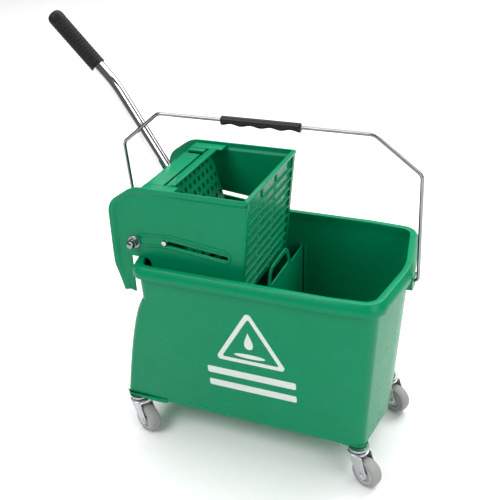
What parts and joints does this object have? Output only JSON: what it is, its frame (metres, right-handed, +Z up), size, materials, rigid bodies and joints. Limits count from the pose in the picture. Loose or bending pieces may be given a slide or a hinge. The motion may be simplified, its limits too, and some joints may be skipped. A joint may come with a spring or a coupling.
{
  "type": "mop bucket with wringer",
  "caption": "Wheeled mop bucket with a lever-driven press wringer, a lift-out divider and a folding wire carrying handle.",
  "frame": {"origin": "on the floor, midway between the lever's tip and the open end of the bail, on the bucket's centre plane", "axes": "+X along the bucket to its open end, +Y to its far side, +Z up; the wringer is at the -X end"},
  "size_m": [0.5911, 0.2704, 0.7013],
  "materials": {
    "green_plastic": "injection-moulded polypropylene, glossy",
    "chrome": "chrome-plated steel",
    "zinc": "bright zinc-plated pressed steel",
    "black_rubber": "moulded black rubber",
    "grey_tyre": "non-marking grey rubber",
    "grey_hub": "moulded grey plastic"
  },
  "bodies": {
    "bucket": {"bucket_tub": "green_plastic", "caster_stem_near_right": "zinc", "caster_stem_far_right": "zinc", "caster_stem_near_left": "zinc", "caster_stem_far_left": "zinc"},
    "divider": {"divider_plate": "green_plastic"},
    "wringer": {"wringer_housing": "green_plastic", "lever_axle": "zinc", "axle_washer_near": "chrome", "axle_washer_far": "chrome", "axle_nut_near": "chrome", "axle_nut_far": "chrome"},
    "lever": {"lever_yoke": "green_plastic", "lever_tube": "chrome", "lever_grip": "black_rubber", "tube_bolt": "zinc", "cam_pin_near": "zinc", "cam_pin_far": "zinc"},
    "carriage": {"guide_rod": "zinc", "cam_cheek_near": "green_plastic", "cam_cheek_far": "green_plastic"},
    "press": {"press_plate": "green_plastic"},
    "bail": {"bail_wire": "chrome", "bail_grip": "black_rubber"},
    "swivel_near_right": {"caster_fork_near_right": "zinc", "caster_axle_near_right": "zinc"},
    "wheel_near_right": {"caster_tyre_near_right": "grey_tyre", "caster_hub_near_right": "grey_hub"},
    "swivel_far_right": {"caster_fork_far_right": "zinc", "caster_axle_far_right": "zinc"},
    "wheel_far_right": {"caster_tyre_far_right": "grey_tyre", "caster_hub_far_right": "grey_hub"},
    "swivel_near_left": {"caster_fork_near_left": "zinc", "caster_axle_near_left": "zinc"},
    "wheel_near_left": {"caster_tyre_near_left": "grey_tyre", "caster_hub_near_left": "grey_hub"},
    "swivel_far_left": {"caster_fork_far_left": "zinc", "caster_axle_far_left": "zinc"},
    "wheel_far_left": {"caster_tyre_far_left": "grey_tyre", "caster_hub_far_left": "grey_hub"}
  },
  "joints": [
    {"name": "divider_lift", "type": "slide", "parent": "bucket", "child": "divider", "axis": [0, 0, 1], "range_m": [0, 0.21]},
    {"name": "wringer_lift", "type": "slide", "parent": "bucket", "child": "wringer", "axis": [0, 0, 1], "range_m": [0, 0.075]},
    {"name": "lever_swing", "type": "hinge", "parent": "wringer", "child": "lever", "pos_m": [-0.1291, 0, 0.376], "axis": [0, 1, 0], "range_deg": [0, 60]},
    {"name": "carriage_slide", "type": "slide", "parent": "wringer", "child": "carriage", "axis": [0.9941, 0, -0.1083], "range_m": [0, 0.0871]},
    {"name": "press_tilt", "type": "hinge", "parent": "carriage", "child": "press", "pos_m": [-0.0761, 0, 0.382], "axis": [0, 1, 0], "range_deg": [0, 18.1]},
    {"name": "bail_swing", "type": "hinge", "parent": "bucket", "child": "bail", "pos_m": [0.0569, 0, 0.326], "axis": [1, 0, 0], "range_deg": [-1, 138]},
    {"name": "swivel_near_right_turn", "type": "hinge", "parent": "bucket", "child": "swivel_near_right", "pos_m": [0.2339, -0.097, 0.06], "axis": [0, 0, 1], "continuous": true},
    {"name": "wheel_near_right_roll", "type": "hinge", "parent": "swivel_near_right", "child": "wheel_near_right", "pos_m": [0.25034, -0.10432, 0.025], "axis": [0.4067, 0.9135, 0], "continuous": true},
    {"name": "swivel_far_right_turn", "type": "hinge", "parent": "bucket", "child": "swivel_far_right", "pos_m": [0.2339, 0.097, 0.06], "axis": [0, 0, 1], "continuous": true},
    {"name": "wheel_far_right_roll", "type": "hinge", "parent": "swivel_far_right", "child": "wheel_far_right", "pos_m": [0.25034, 0.08968, 0.025], "axis": [0.4067, 0.9135, 0], "continuous": true},
    {"name": "swivel_near_left_turn", "type": "hinge", "parent": "bucket", "child": "swivel_near_left", "pos_m": [-0.1601, -0.096, 0.06], "axis": [0, 0, 1], "continuous": true},
    {"name": "wheel_near_left_roll", "type": "hinge", "parent": "swivel_near_left", "child": "wheel_near_left", "pos_m": [-0.14366, -0.10332, 0.025], "axis": [0.4067, 0.9135, 0], "continuous": true},
    {"name": "swivel_far_left_turn", "type": "hinge", "parent": "bucket", "child": "swivel_far_left", "pos_m": [-0.1601, 0.096, 0.06], "axis": [0, 0, 1], "continuous": true},
    {"name": "wheel_far_left_roll", "type": "hinge", "parent": "swivel_far_left", "child": "wheel_far_left", "pos_m": [-0.14366, 0.08868, 0.025], "axis": [0.4067, 0.9135, 0], "continuous": true}
  ],
  "couplings": [
    {"joint": "carriage_slide", "follows": "lever_swing", "m_per_rad": 0.083079},
    {"joint": "press_tilt", "follows": "lever_swing", "ratio": 0.3}
  ]
}
